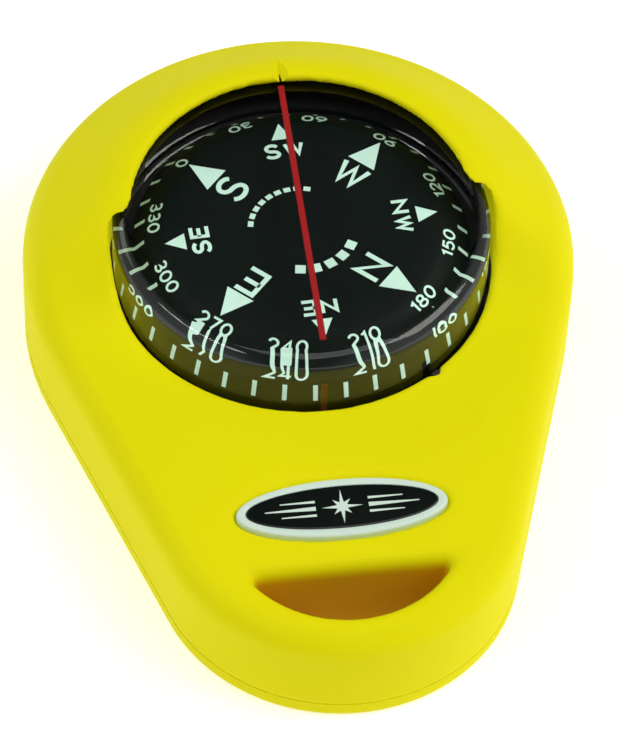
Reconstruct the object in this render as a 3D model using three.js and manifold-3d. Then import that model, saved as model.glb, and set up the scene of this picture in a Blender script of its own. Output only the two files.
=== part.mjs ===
// Handheld bearing compass: a teardrop body with a hooded, liquid-filled capsule and a lanyard slot.
// Millimetres, +Z up, +Y towards the sighting notch. The origin is on the capsule's axis, at the
// flat underside.
import * as THREE from "three";
import { mergeVertices } from "three/addons/utils/BufferGeometryUtils.js";
import Module from "manifold-3d";

const wasm = await Module();
wasm.setup();

// Body
const bodyWidth = 80; // across the round end
const bodyLength = 110;
const handleWidth = 52; // the hand's end is a half circle of this width
const roundEndY = 1.6; // centre of the round end, ahead of the capsule's axis
const deckHeight = 17.2;
const hoodHeight = 28.8;
const hoodShoulder = 19; // height at which the hood's slope meets the side wall
const hoodEndY = 0.7; // where the hood stops beside the capsule
const hoodEndSlope = 54; // degrees, of the hood's two ends down to the deck
const shellWall = 2.6;
const deckFillet = 3.5;
const baseThickness = 2.8;
const baseFillet = 1;
const baseLipHeight = 2.2;
const baseLipWall = 1.4;

// Capsule
const capsuleRadius = 27.2;
const capsuleTop = 26.8; // height of the clear cover's flat top
const coverWall = 1.5;
const coverTopWall = 1.8;
const coverEdgeRadius = 2.4;
const flangeReach = 1.8; // flanges of the cover and the bowl, past the capsule's side
const bowlFlangeTop = 9.9;
const bowlFlangeWall = 1.9;
const coverFlangeWall = 1.6;
const bowlInset = 1.2; // the bowl's side, inside the capsule's side
const bowlWall = 1.4;
const bowlFloorRise = 2.3; // from the bowl's foot to the underside of its floor
const bowlFloorWall = 2;
const sealRadius = 0.45;
const diaphragmInset = 14.5; // from the bowl's side to the diaphragm's edge
const housingWall = 1.6; // round the diaphragm
const fillerInset = 7.8; // from the bowl's side to the filler screw's axis
const fillerRadius = 1.5;
const clampWall = 1.1;
const clampLip = 1;
const gasketThickness = 0.7;
const collarWall = 2.6;
const lipOverlap = 2.9; // how far the hood's lip reaches over the clear cover
const wellGap = 0.5; // between the clear cover and its opening
const lugAngle = -54.5; // degrees, of the gasket's locating lug

// Compass card, with its pivot
const cardTop = 21.2;
const cardGap = 1.5; // between the card's skirt and the inside of the clear cover
const skirtFlare = 4; // from the card's flat part to the skirt's foot
const skirtDrop = 5;
const cardWall = 0.6;
const pivotHeight = 19; // needle's tip, which the card tilts and turns about
const needleRadius = 0.45;
const postRadius = 1.5;
const postTop = 16.4;
const cupRadius = 1.05;
const cupRise = 0.5; // from the pivot to the cup's top
const holderWall = 0.4;
const floatRadius = 8.5;
const floatDepth = 5.7;
const floatWall = 0.8;
const magnetLength = 17;
const magnetWidth = 3;
const magnetHeight = 2.2;
const magnetSpacing = 13.2; // between the two magnets' middles
const cardNorth = -42.5; // degrees from +X to the card's north mark, which the magnets follow

// Badge, lanyard slot, lubber lines and screws
const badgeLength = 29.6;
const badgeWidth = 9.8;
const badgeY = -45.2;
const badgeBorder = 1.3;
const badgeStand = 0.2; // how far the badge stands above the deck
const badgeDepth = 1.3;
const inlayDepth = 0.4;
const slotWidth = 28.4;
const slotDepth = 8.1;
const slotY = -55; // the slot's straight edge
const slotWall = 1.6;
const lineWidth = 0.9;
const lineThickness = 0.5;
const topLineGap = 1.3; // between the top line's ends and the hood's lip
const frontLineHeight = 10.4;
const notchWidth = 2.6;
const screwRadius = 1.05;
const screwHeadRadius = 2.2;
const screwHeadHeight = 1;
const screwLength = 9.7;
const bossRadius = 2.9;
const rearBossAngle = 45; // degrees each side of +Y
const frontBossX = 19;
const frontBossY = -40;

// Fits
const fitGap = 0.3; // between any two separate pieces
const smallGap = 0.25; // inside the jewel bearing

// Values worked out from the ones above
const roundEndRadius = bodyWidth / 2;
const handleRadius = handleWidth / 2;
const handleY = roundEndY + roundEndRadius - bodyLength + handleRadius;
const shellBottom = baseThickness + fitGap;
const wellRadius = capsuleRadius + wellGap;
const collarRadius = wellRadius + collarWall;
const lipRadius = capsuleRadius - lipOverlap;
const topLineLength = (lipRadius - topLineGap) * 2;
const lipBottom = capsuleTop + fitGap;
const crestInner = lipRadius + 1.7;
const crestOuter = wellRadius - 0.3;
const hoodSlope = (hoodHeight - hoodShoulder) / (roundEndRadius - crestOuter);
const coverInnerRadius = capsuleRadius - coverWall;
const coverInnerTop = capsuleTop - coverTopWall;
const skirtRadius = coverInnerRadius - cardGap;
const cardRadius = skirtRadius - skirtFlare;
const flangeRadius = capsuleRadius + flangeReach;
const coverFoot = bowlFlangeTop + fitGap;
const coverFlangeTop = coverFoot + coverFlangeWall;
const bowlFlangeBottom = bowlFlangeTop - bowlFlangeWall;
const bowlRadius = capsuleRadius - bowlInset;
const bowlFoot = shellBottom;
const bowlFloorBottom = bowlFoot + bowlFloorRise;
const bowlFloorTop = bowlFloorBottom + bowlFloorWall;
const clampTop = coverFlangeTop + fitGap + clampLip;
const clampRadius = flangeRadius + fitGap + clampWall;
const gasketBottom = clampTop + fitGap;
const gasketTop = gasketBottom + gasketThickness;
const collarBottom = gasketTop + fitGap;
const bossGap = fitGap * 2;
const rearBossRing = Math.max(clampRadius, collarRadius) + bossGap + bossRadius;
const clearanceRadius = screwRadius + fitGap;
const screwHeadBottom = fitGap;
const diaphragmRadius = bowlRadius - diaphragmInset;
const housingRadius = diaphragmRadius + fitGap * 2;
const fillerY = bowlRadius - fillerInset;

const wideSegments = 64;
const innerSegments = 40;
const smallSegments = 16;

// Helpers
function solidOf(geometry) {
  const bare = geometry.clone();
  bare.deleteAttribute("normal");
  bare.deleteAttribute("uv");
  const merged = mergeVertices(bare, 1e-4);
  const corners = merged.index.array;
  const triangles = [];
  for (let i = 0; i < corners.length; i += 3) {
    const [a, b, c] = [corners[i], corners[i + 1], corners[i + 2]];
    if (a !== b && b !== c && c !== a) {
      triangles.push(a, b, c);
    }
  }
  const mesh = new wasm.Mesh({
    numProp: 3,
    vertProperties: merged.attributes.position.array,
    triVerts: new Uint32Array(triangles),
  });
  return new wasm.Manifold(mesh);
}

function geometryOf(solid) {
  const mesh = solid.getMesh();
  const geometry = new THREE.BufferGeometry();
  geometry.setAttribute("position", new THREE.BufferAttribute(mesh.vertProperties, 3));
  geometry.setIndex(new THREE.BufferAttribute(mesh.triVerts, 1));
  geometry.computeVertexNormals();
  return geometry;
}

// A solid of revolution about the Z axis, from [radius, height] corners in either direction.
function turned(corners, segments = wideSegments) {
  const points = corners.map(([radius, height]) => new THREE.Vector2(radius, height));
  if (THREE.ShapeUtils.area(points) < 0) {
    points.reverse();
  }
  points.push(points[0].clone());
  const geometry = new THREE.LatheGeometry(points, segments);
  geometry.rotateX(Math.PI / 2);
  return solidOf(geometry);
}

function disc(radius, bottom, top, segments = wideSegments) {
  const corners = [[0, bottom], [radius, bottom], [radius, top], [0, top]];
  return turned(corners, segments);
}

function ring(innerRadius, outerRadius, bottom, top, segments = wideSegments) {
  const corners = [
    [innerRadius, bottom],
    [outerRadius, bottom],
    [outerRadius, top],
    [innerRadius, top],
  ];
  return turned(corners, segments);
}

function block(width, depth, bottom, top) {
  const geometry = new THREE.BoxGeometry(width, depth, top - bottom);
  geometry.translate(0, 0, (bottom + top) / 2);
  return solidOf(geometry);
}

function moved(solid, x, y, z = 0) {
  return solid.translate([x, y, z]);
}

// A flat shape drawn in X and Y, raised from bottom to top.
function raised(shape, bottom, top) {
  const geometry = new THREE.ExtrudeGeometry(shape, {
    depth: top - bottom,
    bevelEnabled: false,
    curveSegments: 18,
  });
  geometry.translate(0, 0, bottom);
  return solidOf(geometry);
}

// The same, with every edge rounded.
function raisedRound(shape, bottom, top, fillet) {
  const geometry = new THREE.ExtrudeGeometry(shape, {
    depth: top - bottom - fillet * 2,
    bevelThickness: fillet,
    bevelSize: fillet,
    bevelOffset: -fillet,
    bevelSegments: 3,
    curveSegments: 18,
  });
  geometry.translate(0, 0, bottom + fillet);
  return solidOf(geometry);
}

// A side outline drawn as [y, z] corners, carried across the whole width.
function acrossWidth(corners) {
  const reach = bodyWidth;
  const shape = new THREE.Shape(corners.map(([y, z]) => new THREE.Vector2(y, z)));
  const geometry = new THREE.ExtrudeGeometry(shape, { depth: reach * 2, bevelEnabled: false });
  geometry.translate(0, 0, -reach);
  geometry.rotateY(Math.PI / 2);
  geometry.rotateX(Math.PI / 2);
  return solidOf(geometry);
}

// The body's outline: two arcs joined by straight flanks.
function teardrop(inset = 0) {
  const rear = roundEndRadius - inset;
  const front = handleRadius - inset;
  const lean = Math.asin((rear - front) / (roundEndY - handleY));
  const shape = new THREE.Shape();
  shape.absarc(0, roundEndY, rear, -lean, Math.PI + lean, false);
  shape.absarc(0, handleY, front, Math.PI + lean, 2 * Math.PI - lean, false);
  shape.closePath();
  return shape;
}

function oval(length, width) {
  const shape = new THREE.Shape();
  shape.absellipse(0, badgeY, length / 2, width / 2, 0, 2 * Math.PI, false, 0);
  return shape;
}

// The lanyard slot: a straight edge closed by an arc, grown on all sides by grow.
function slotShape(grow = 0) {
  const half = slotWidth / 2;
  const bend = (half * half + slotDepth * slotDepth) / (2 * slotDepth);
  const centreY = slotY - slotDepth + bend;
  const radius = bend + grow;
  const edgeY = slotY + grow;
  const start = Math.PI - Math.asin((edgeY - centreY) / radius);
  const shape = new THREE.Shape();
  shape.absarc(0, centreY, radius, start, 3 * Math.PI - start, false);
  shape.closePath();
  return shape;
}

const bossPlaces = [];
for (const side of [-1, 1]) {
  const turn = (side * rearBossAngle * Math.PI) / 180;
  bossPlaces.push([rearBossRing * Math.sin(turn), rearBossRing * Math.cos(turn)]);
  bossPlaces.push([side * frontBossX, frontBossY]);
}

const lugTurn = (lugAngle * Math.PI) / 180;

// A small upright block on the lug's ray, from the well's edge outwards.
function lugBlock(width, reach, bottom, top) {
  const piece = block(reach, width, bottom, top);
  return moved(piece, wellRadius + reach / 2 + fitGap, 0).rotate([0, 0, lugAngle]);
}

// Height of the hood's outer slope at a radius from the capsule's axis.
function hoodSlopeHeight(radius) {
  return hoodHeight - (radius - crestOuter) * hoodSlope;
}

// Everything behind the hood's two sloping ends, moved back by inset.
function hoodRange(inset = 0) {
  const top = hoodHeight + 1;
  const run = (top - shellBottom) / Math.tan((hoodEndSlope * Math.PI) / 180);
  const farY = bodyLength;
  return acrossWidth([
    [hoodEndY + inset - run, shellBottom],
    [farY, shellBottom],
    [farY, top],
    [hoodEndY + inset, top],
  ]);
}

// Body pieces
function bodyShell() {
  const farRadius = bodyLength;
  const crestDrop = hoodHeight - lipBottom;
  const plinth = raisedRound(teardrop(), shellBottom - deckFillet * 2, deckHeight, deckFillet);
  const aboveBase = raised(teardrop(-1), shellBottom, hoodHeight + 1);
  const roof = turned([
    [0, shellBottom],
    [farRadius, shellBottom],
    [farRadius, shellBottom + 0.1],
    [crestOuter + (hoodHeight - shellBottom - 0.1) / hoodSlope, shellBottom + 0.1],
    [crestOuter + 1, hoodSlopeHeight(crestOuter + 1)],
    [crestOuter - 0.4, hoodHeight],
    [crestInner, hoodHeight],
    [0, hoodHeight],
  ]);
  const hood = raised(teardrop(), shellBottom, hoodHeight + 1)
    .intersect(roof)
    .intersect(hoodRange());
  const outside = plinth.intersect(aboveBase).add(hood);

  const underDeck = raised(teardrop(shellWall), 0, deckHeight - shellWall);
  const roofThickness = shellWall * Math.hypot(1, hoodSlope);
  const underRoof = turned([
    [0, 0],
    [farRadius, 0],
    [farRadius, 0.1],
    [crestOuter + (hoodHeight - roofThickness - 0.1) / hoodSlope, 0.1],
    [collarRadius, hoodSlopeHeight(collarRadius) - roofThickness],
    [0, hoodSlopeHeight(collarRadius) - roofThickness],
  ]);
  const underHood = raised(teardrop(shellWall), 0, hoodHeight)
    .intersect(underRoof)
    .intersect(hoodRange(shellWall));
  const collar = disc(collarRadius, collarBottom, hoodHeight + 1);
  const cavity = underDeck.add(underHood).subtract(collar);

  let shell = outside.subtract(cavity);
  for (const [x, y] of bossPlaces) {
    const boss = moved(disc(bossRadius, shellBottom, hoodHeight, smallSegments), x, y);
    shell = shell.add(boss.intersect(outside));
  }
  shell = shell.add(raised(slotShape(slotWall), shellBottom, deckHeight - shellWall / 2));
  shell = shell.subtract(raised(slotShape(), -1, deckHeight + 1));
  shell = shell.subtract(disc(wellRadius, -1, lipBottom));
  shell = shell.subtract(disc(collarRadius, -1, collarBottom));
  const mouth = turned([
    [0, lipBottom - 0.5],
    [lipRadius, lipBottom - 0.5],
    [lipRadius, lipBottom + crestDrop * 0.4],
    [crestInner, hoodHeight + 0.02],
    [0, hoodHeight + 0.02],
  ]);
  shell = shell.subtract(mouth);
  for (const [x, y] of bossPlaces) {
    const pilotTop = screwHeadBottom + screwHeadHeight + screwLength + fitGap;
    shell = shell.subtract(moved(disc(clearanceRadius, 0, pilotTop, smallSegments), x, y));
  }
  const badgeFloor = deckHeight + badgeStand - badgeDepth - fitGap;
  const badgeSeat = oval(badgeLength + fitGap * 2, badgeWidth + fitGap * 2);
  shell = shell.subtract(raised(badgeSeat, badgeFloor, deckHeight + 1));
  shell = shell.subtract(lugBlock(lineWidth * 2, 1.5, collarBottom - 1, deckHeight + 1));
  return shell.subtract(sightNotch());
}

// A V-shaped notch across the hood's lip, in line with the lubber line.
function sightNotch() {
  const top = hoodHeight + 0.5;
  const length = wellRadius - lipRadius + 1.5;
  const corners = [
    new THREE.Vector2(-notchWidth / 2, top),
    new THREE.Vector2(0, lipBottom - 0.2),
    new THREE.Vector2(notchWidth / 2, top),
  ];
  const geometry = new THREE.ExtrudeGeometry(new THREE.Shape(corners), {
    depth: length,
    bevelEnabled: false,
  });
  geometry.rotateX(Math.PI / 2);
  geometry.translate(0, lipRadius - 0.5 + length, 0);
  return solidOf(geometry);
}

function baseCover() {
  const plate = raisedRound(teardrop(), 0, baseThickness + baseFillet * 2, baseFillet);
  const belowTop = raised(teardrop(-1), 0, baseThickness);
  const lipTop = baseThickness + baseLipHeight;
  const lipOutside = raised(teardrop(shellWall + fitGap), baseThickness / 2, lipTop);
  const lipInside = raised(teardrop(shellWall + fitGap + baseLipWall), 0, lipTop + 1);
  let cover = plate.intersect(belowTop).add(lipOutside.subtract(lipInside));
  cover = cover.subtract(raised(slotShape(slotWall + fitGap), baseThickness, lipTop + 1));
  cover = cover.subtract(raised(slotShape(), -1, lipTop + 1));
  const headRoom = screwHeadBottom + screwHeadHeight + fitGap;
  for (const [x, y] of bossPlaces) {
    const bossRoom = disc(bossRadius + fitGap, baseThickness, lipTop + 1, smallSegments);
    cover = cover.subtract(moved(bossRoom, x, y));
    cover = cover.subtract(moved(disc(clearanceRadius, -1, lipTop, smallSegments), x, y));
    cover = cover.subtract(moved(disc(screwHeadRadius + fitGap, -1, headRoom, smallSegments), x, y));
  }
  return cover;
}

function baseScrew(x, y) {
  const headTop = screwHeadBottom + screwHeadHeight;
  const tip = headTop + screwLength;
  const recess = screwHeadHeight * 0.6;
  const body = turned([
    [0, screwHeadBottom],
    [screwHeadRadius - 0.4, screwHeadBottom],
    [screwHeadRadius, screwHeadBottom + 0.4],
    [screwHeadRadius, headTop],
    [screwRadius, headTop],
    [screwRadius, tip - 1],
    [0.3, tip],
    [0, tip],
  ], smallSegments);
  const arm = block(screwHeadRadius * 1.2, 0.6, 0, screwHeadBottom + recess);
  return moved(body.subtract(arm).subtract(arm.rotate([0, 0, 90])), x, y);
}

function badgePlate() {
  const top = deckHeight + badgeStand;
  const plate = raised(oval(badgeLength, badgeWidth), top - badgeDepth, top);
  const reveal = badgeBorder * 2;
  const seat = oval(badgeLength - reveal, badgeWidth - reveal);
  return plate.subtract(raised(seat, top - inlayDepth - fitGap, top + 1));
}

function badgeInlay() {
  const top = deckHeight + badgeStand;
  const shrink = (badgeBorder + fitGap) * 2;
  return raised(oval(badgeLength - shrink, badgeWidth - shrink), top - inlayDepth, top);
}

// Capsule pieces
function capsuleCover() {
  const arcSteps = 5;
  const corners = [
    [coverInnerRadius, coverFoot],
    [flangeRadius, coverFoot],
    [flangeRadius, coverFlangeTop],
    [capsuleRadius, coverFlangeTop],
  ];
  for (let i = 0; i <= arcSteps; i += 1) {
    const turn = (i / arcSteps) * (Math.PI / 2);
    corners.push([
      capsuleRadius - coverEdgeRadius * (1 - Math.cos(turn)),
      capsuleTop - coverEdgeRadius * (1 - Math.sin(turn)),
    ]);
  }
  corners.push([0, capsuleTop]);
  corners.push([0, coverInnerTop]);
  const innerEdge = coverEdgeRadius - coverWall;
  corners.push([coverInnerRadius - innerEdge, coverInnerTop]);
  corners.push([coverInnerRadius, coverInnerTop - innerEdge]);
  const grooveDepth = lineThickness + fitGap;
  const groove = block(
    lineWidth + fitGap * 2,
    topLineLength + fitGap * 2,
    capsuleTop - grooveDepth,
    capsuleTop + 1,
  );
  return turned(corners).subtract(groove);
}

function capsuleBowl() {
  const grooveHalf = sealRadius + fitGap;
  const grooveFloor = bowlFlangeTop - sealRadius * 2 - 0.2;
  const socketRadius = postRadius + fitGap;
  const innerRadius = bowlRadius - bowlWall;
  const bowl = turned([
    [0, bowlFloorBottom],
    [housingRadius, bowlFloorBottom],
    [housingRadius, bowlFoot],
    [housingRadius + housingWall, bowlFoot],
    [housingRadius + housingWall, bowlFloorBottom],
    [innerRadius, bowlFloorBottom],
    [innerRadius, bowlFoot],
    [bowlRadius, bowlFoot],
    [bowlRadius, bowlFlangeBottom],
    [flangeRadius, bowlFlangeBottom],
    [flangeRadius, bowlFlangeTop],
    [capsuleRadius + grooveHalf, bowlFlangeTop],
    [capsuleRadius + grooveHalf, grooveFloor],
    [capsuleRadius - grooveHalf, grooveFloor],
    [capsuleRadius - grooveHalf, bowlFlangeTop],
    [innerRadius, bowlFlangeTop],
    [innerRadius, bowlFloorTop],
    [socketRadius + 1.2, bowlFloorTop],
    [socketRadius + 1.2, bowlFloorTop + 2],
    [socketRadius, bowlFloorTop + 2],
    [socketRadius, bowlFloorBottom + 1.2],
    [0, bowlFloorBottom + 1.2],
  ], innerSegments);
  let bored = bowl.subtract(
    moved(disc(fillerRadius + fitGap, 0, bowlFlangeTop, smallSegments), 0, fillerY),
  );
  const port = disc(0.9, 0, bowlFloorTop + 0.5, 8);
  for (let i = 0; i < 4; i += 1) {
    const turn = (i * Math.PI) / 2;
    bored = bored.subtract(moved(port, 6 * Math.cos(turn), 6 * Math.sin(turn)));
  }
  return bored;
}

function capsuleSeal() {
  const geometry = new THREE.TorusGeometry(capsuleRadius, sealRadius, 6, innerSegments);
  geometry.translate(0, 0, bowlFlangeTop - sealRadius + 0.1);
  return solidOf(geometry);
}

function clampRing() {
  const wallInside = flangeRadius + fitGap;
  const bottom = bowlFlangeBottom - fitGap - clampLip;
  return turned([
    [bowlRadius + fitGap, bottom],
    [clampRadius, bottom],
    [clampRadius, clampTop],
    [capsuleRadius + fitGap, clampTop],
    [capsuleRadius + fitGap, clampTop - clampLip],
    [wallInside, clampTop - clampLip],
    [wallInside, bottom + clampLip],
    [bowlRadius + fitGap, bottom + clampLip],
  ], innerSegments);
}

function capsuleGasket() {
  const sealRing = ring(capsuleRadius + fitGap, collarRadius - fitGap, gasketBottom, gasketTop);
  const lug = lugBlock(lineWidth * 1.3, 0.9, gasketBottom + 0.1, deckHeight - fitGap);
  return sealRing.add(lug);
}

function topLubberLine() {
  return block(lineWidth, topLineLength, capsuleTop - lineThickness, capsuleTop);
}

function frontLubberLine() {
  const depth = lineThickness * 0.6;
  const line = block(lineWidth, depth, coverFoot, coverFoot + frontLineHeight);
  return moved(line, 0, -(coverInnerRadius - fitGap - depth / 2));
}

function pivotPost() {
  const foot = bowlFloorBottom + 1.2 + fitGap;
  const bore = needleRadius + fitGap;
  return turned([
    [0, foot],
    [postRadius, foot],
    [postRadius, postTop - 1.2],
    [bore + 0.3, postTop],
    [bore, postTop],
    [bore, postTop - 4],
    [0, postTop - 4],
  ], smallSegments);
}

function pivotNeedle() {
  const foot = postTop - 4 + fitGap;
  return turned([
    [0, foot],
    [needleRadius, foot],
    [needleRadius, pivotHeight - 1.2],
    [0, pivotHeight],
  ], smallSegments);
}

function diaphragm() {
  const bottom = bowlFloorBottom - fitGap - 0.5;
  return disc(diaphragmRadius, bottom, bottom + 0.5, innerSegments);
}

function diaphragmRetainer() {
  const top = bowlFloorBottom - fitGap * 2 - 0.5;
  return ring(diaphragmRadius - 2.5, diaphragmRadius, bowlFoot + 0.1, top, innerSegments);
}

function fillerScrew() {
  const headTop = bowlFoot + 0.8;
  const body = turned([
    [0, bowlFoot],
    [2.6, bowlFoot],
    [2.6, headTop],
    [fillerRadius, headTop],
    [fillerRadius, bowlFloorTop - fitGap],
    [0, bowlFloorTop - fitGap],
  ], smallSegments);
  const driverSlot = block(3.6, 0.7, 0, bowlFoot + 0.4);
  return moved(body.subtract(driverSlot), 0, fillerY);
}

function fillerWasher() {
  const bottom = bowlFoot + 0.8 + fitGap;
  const washer = ring(fillerRadius + fitGap, 2.8, bottom, bowlFloorBottom - fitGap, smallSegments);
  return moved(washer, 0, fillerY);
}

// Pieces on the pivot
function jewelCup() {
  const bottom = pivotHeight - 0.8;
  return turned([
    [0, pivotHeight + smallGap],
    [0.75, bottom],
    [cupRadius, bottom],
    [cupRadius, pivotHeight + cupRise],
    [0, pivotHeight + cupRise],
  ], smallSegments);
}

function jewelHolder() {
  const inside = cupRadius + smallGap;
  const ceiling = pivotHeight + cupRise + smallGap;
  const bottom = pivotHeight - 0.8;
  return turned([
    [inside, bottom],
    [inside + holderWall, bottom],
    [inside + holderWall, ceiling + holderWall],
    [0, ceiling + holderWall],
    [0, ceiling],
    [inside, ceiling],
  ], smallSegments);
}

function compassCard() {
  const bottom = cardTop - cardWall;
  const edge = cardTop - skirtDrop;
  const lean = Math.atan2(skirtDrop, skirtRadius - cardRadius);
  return turned([
    [0, bottom],
    [cardRadius - cardWall * Math.tan(lean / 2), bottom],
    [skirtRadius - cardWall * Math.sin(lean), edge - cardWall * Math.cos(lean)],
    [skirtRadius, edge],
    [cardRadius, cardTop],
    [0, cardTop],
  ]);
}

const floatTop = cardTop - cardWall - fitGap;

function cardFloat() {
  const hole = cupRadius + smallGap + holderWall + fitGap;
  return turned([
    [hole, floatTop - floatWall],
    [floatRadius - floatWall, floatTop - floatWall],
    [floatRadius - floatWall, floatTop - floatDepth],
    [floatRadius, floatTop - floatDepth],
    [floatRadius, floatTop],
    [hole, floatTop],
  ], innerSegments);
}

const carrierTop = floatTop - floatDepth - fitGap;
const carrierWall = 0.8;

function magnetCarrier() {
  return ring(4.6, floatRadius + 1.2, carrierTop - carrierWall, carrierTop, innerSegments);
}

function cardMagnet(side) {
  const top = carrierTop - carrierWall - fitGap;
  const bar = block(magnetWidth, magnetLength, top - magnetHeight, top);
  return moved(bar, (side * magnetSpacing) / 2, 0).rotate([0, 0, cardNorth - 90]);
}

// Finishes
function finish(color, roughness, metalness = 0) {
  return new THREE.MeshStandardMaterial({ color, roughness, metalness });
}

const yellowRubber = finish(0xf2e413, 0.6);
const blackPlastic = finish(0x101513, 0.4);
const blackRubber = finish(0x0b0d0c, 0.8);
const clearPlastic = finish(0xdfeee8, 0.05);
clearPlastic.transparent = true;
clearPlastic.opacity = 0.3;
const cardBlack = finish(0x0a1916, 0.5);
const whitePlastic = finish(0xe6efe8, 0.45);
const redLine = finish(0xa81b1e, 0.4);
const brass = finish(0xb58a3c, 0.35, 1);
const steel = finish(0xb8bcc0, 0.3, 1);
const magnetAlloy = finish(0x4a4d50, 0.45, 1);
const sapphire = finish(0x9a2338, 0.1);

const compass = new THREE.Group();

function place(name, solid, material) {
  const mesh = new THREE.Mesh(geometryOf(solid), material);
  mesh.name = name;
  compass.add(mesh);
}

place("body_shell", bodyShell(), yellowRubber);
place("base_cover", baseCover(), yellowRubber);
bossPlaces.forEach(([x, y], i) => {
  place(`base_screw_${i + 1}`, baseScrew(x, y), steel);
});
place("badge_plate", badgePlate(), whitePlastic);
place("badge_inlay", badgeInlay(), blackPlastic);
place("capsule_gasket", capsuleGasket(), blackRubber);
place("clamp_ring", clampRing(), blackPlastic);
place("capsule_cover", capsuleCover(), clearPlastic);
place("capsule_bowl", capsuleBowl(), blackPlastic);
place("capsule_seal", capsuleSeal(), blackRubber);
place("top_lubber_line", topLubberLine(), redLine);
place("front_lubber_line", frontLubberLine(), redLine);
place("pivot_post", pivotPost(), brass);
place("pivot_needle", pivotNeedle(), steel);
place("diaphragm", diaphragm(), blackRubber);
place("diaphragm_retainer", diaphragmRetainer(), blackPlastic);
place("filler_screw", fillerScrew(), brass);
place("filler_washer", fillerWasher(), blackRubber);
place("jewel_cup", jewelCup(), sapphire);
place("jewel_holder", jewelHolder(), brass);
place("compass_card", compassCard(), cardBlack);
place("card_float", cardFloat(), whitePlastic);
place("magnet_carrier", magnetCarrier(), blackPlastic);
place("card_magnet_left", cardMagnet(-1), magnetAlloy);
place("card_magnet_right", cardMagnet(1), magnetAlloy);

export default compass;
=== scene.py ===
import math

import bmesh
import bpy
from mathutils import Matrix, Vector


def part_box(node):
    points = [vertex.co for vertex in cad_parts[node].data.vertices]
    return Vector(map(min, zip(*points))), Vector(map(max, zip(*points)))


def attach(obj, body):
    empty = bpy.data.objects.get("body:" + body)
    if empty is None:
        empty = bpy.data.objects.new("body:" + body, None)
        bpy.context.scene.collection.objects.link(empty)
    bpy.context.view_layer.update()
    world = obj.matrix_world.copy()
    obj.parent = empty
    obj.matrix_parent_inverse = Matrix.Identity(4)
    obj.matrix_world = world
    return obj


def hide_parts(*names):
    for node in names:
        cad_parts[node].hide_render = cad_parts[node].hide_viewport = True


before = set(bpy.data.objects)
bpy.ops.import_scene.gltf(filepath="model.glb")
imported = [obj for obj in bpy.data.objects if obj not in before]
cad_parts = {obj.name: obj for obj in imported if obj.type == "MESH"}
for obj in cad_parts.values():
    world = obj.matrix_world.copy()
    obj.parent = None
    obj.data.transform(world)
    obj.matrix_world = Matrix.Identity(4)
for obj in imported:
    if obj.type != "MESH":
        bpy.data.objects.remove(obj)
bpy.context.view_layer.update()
scene = bpy.context.scene
mm = 0.001


def nodeBox(name):
    low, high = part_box(name)
    return low / mm, high / mm


shellLow, shellHigh = nodeBox("body_shell")
coverLow, coverHigh = nodeBox("capsule_cover")
bowlLow, bowlHigh = nodeBox("capsule_bowl")
cardLow, cardHigh = nodeBox("compass_card")
badgeLow, badgeHigh = nodeBox("badge_plate")
inlayHigh = nodeBox("badge_inlay")[1]
gasketHigh = nodeBox("capsule_gasket")[1]
lineLow, lineHigh = nodeBox("top_lubber_line")
print("frame loaded, sizes in mm:", tuple(round(v, 2) for v in shellHigh - shellLow))


# camera, over the handle and a little to one side
cameraView = {
    "azimuth": 9.67,
    "elevation": 52.32,
    "roll": 2.71,
    "distance": 650,
    "aim": (2.785, -5.46, -5.02),
    "lens": 209.5,
    "sensor": 36,
    "clip": (0.05, 20),
}


def makeCamera():
    turn = math.radians(cameraView["azimuth"])
    rise = math.radians(cameraView["elevation"])
    roll = math.radians(cameraView["roll"])
    forward = Vector(
        (math.sin(turn) * math.cos(rise), math.cos(turn) * math.cos(rise), -math.sin(rise))
    )
    level = Vector((math.cos(turn), -math.sin(turn), 0))
    upright = level.cross(forward)
    right = level * math.cos(roll) + upright * math.sin(roll)
    up = upright * math.cos(roll) - level * math.sin(roll)
    data = bpy.data.cameras.new("camera")
    data.lens = cameraView["lens"]
    data.sensor_width = cameraView["sensor"]
    data.clip_start, data.clip_end = cameraView["clip"]
    camera = bpy.data.objects.new("camera", data)
    scene.collection.objects.link(camera)
    place = (Vector(cameraView["aim"]) - forward * cameraView["distance"]) * mm
    columns = (right, up, -forward, place)
    for column, values in enumerate(columns):
        for row in range(3):
            camera.matrix_world[row][column] = values[row]
    scene.camera = camera


makeCamera()


# a number at every point of a node tree, so that a rule reads as a formula
class Field:
    def __init__(self, tree, socket):
        self.tree = tree
        self.socket = socket

    def join(self, operation, *others):
        node = self.tree.nodes.new("ShaderNodeMath")
        node.operation = operation
        for slot, value in zip(node.inputs, (self, *others)):
            if isinstance(value, Field):
                self.tree.links.new(value.socket, slot)
            else:
                slot.default_value = value
        return Field(self.tree, node.outputs[0])

    def __add__(self, other):
        return self.join("ADD", other)

    def __sub__(self, other):
        return self.join("SUBTRACT", other)

    def __mul__(self, other):
        return self.join("MULTIPLY", other)

    def __truediv__(self, other):
        return self.join("DIVIDE", other)

    def __neg__(self):
        return self.join("MULTIPLY", -1)

    def size(self):
        return self.join("ABSOLUTE")

    def root(self):
        return self.join("SQRT")

    def most(self, other):
        return self.join("MAXIMUM", other)

    def least(self, other):
        return self.join("MINIMUM", other)

    def softMost(self, other, width):
        return self.join("SMOOTH_MAX", other, width)

    def softLeast(self, other, width):
        return self.join("SMOOTH_MIN", other, width)


def distance(across, along):
    return (across * across + along * along).root()


# both rules hold, with an edge rounded to a radius
def roundedBoth(first, second, radius):
    firstPast = first + radius
    secondPast = second + radius
    corner = distance(firstPast.most(0), secondPast.most(0))
    return corner + firstPast.most(secondPast).least(0) - radius


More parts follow.
